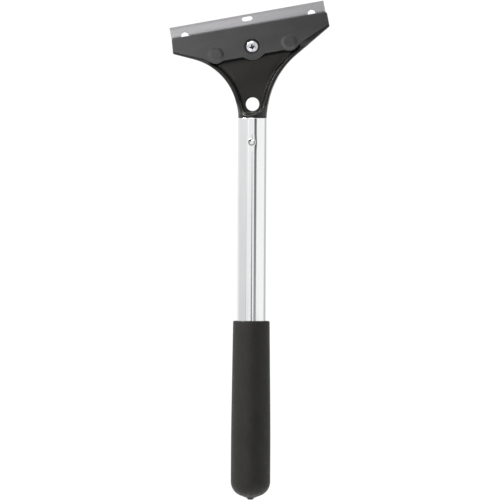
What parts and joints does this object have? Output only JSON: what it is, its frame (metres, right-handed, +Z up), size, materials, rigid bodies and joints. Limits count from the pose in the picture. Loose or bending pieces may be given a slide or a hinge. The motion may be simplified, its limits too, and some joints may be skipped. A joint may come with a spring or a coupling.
{
  "type": "algae scraper",
  "caption": "Long-handled hand scraper: skewed cast head clamping a reversible blade under a screwed plate, tube handle and moulded grip.",
  "frame": {"origin": "centre of the hanging hole, on the handle's axis, in the middle of the web", "axes": "+Z up the handle towards the blade; -Y out of the side that carries the clamp plate, which is also the hanging hole's axis; +X to the right seen from the clamp plate's side, where the skewed blade is highest"},
  "size_m": [0.1038, 0.0278, 0.3251],
  "materials": {
    "black_casting": "gloss black enamel on an aluminium die casting",
    "chromed_tube": "bright chromium plate with fine drawing lines",
    "black_grip": "soft matte vinyl with a fine grain",
    "blade_steel": "ground strip, brushed along its length",
    "dark_plate": "satin dark grey coat on pressed steel",
    "black_washer": "black oxide",
    "bright_screw": "bright zinc plate",
    "plated_nut": "zinc plate"
  },
  "bodies": {
    "handle": {"head_casting": "black_casting", "handle_tube": "chromed_tube", "hand_grip": "black_grip", "clamp_nut": "plated_nut"},
    "clamp": {"clamp_plate": "dark_plate", "screw_washer": "black_washer"},
    "screw": {"clamp_screw": "bright_screw"},
    "blade": {"scraper_blade": "blade_steel"}
  },
  "joints": [
    {"name": "plate_lift", "type": "slide", "parent": "handle", "child": "clamp", "axis": [0.0463, -0.9659, -0.2546], "range_m": [0, 0.00317]},
    {"name": "screw_turn", "type": "hinge", "parent": "clamp", "child": "screw", "pos_m": [0, -0.00906, 0.03797], "axis": [0.0463, -0.9659, -0.2546], "range_deg": [0, 1440]},
    {"name": "blade_slide", "type": "slide", "parent": "handle", "child": "blade", "axis": [0.9839, 0, 0.1788], "range_m": [-0.106, 0.106]}
  ],
  "couplings": [
    {"joint": "screw_turn", "follows": "plate_lift", "rad_per_m": 7915.8}
  ]
}
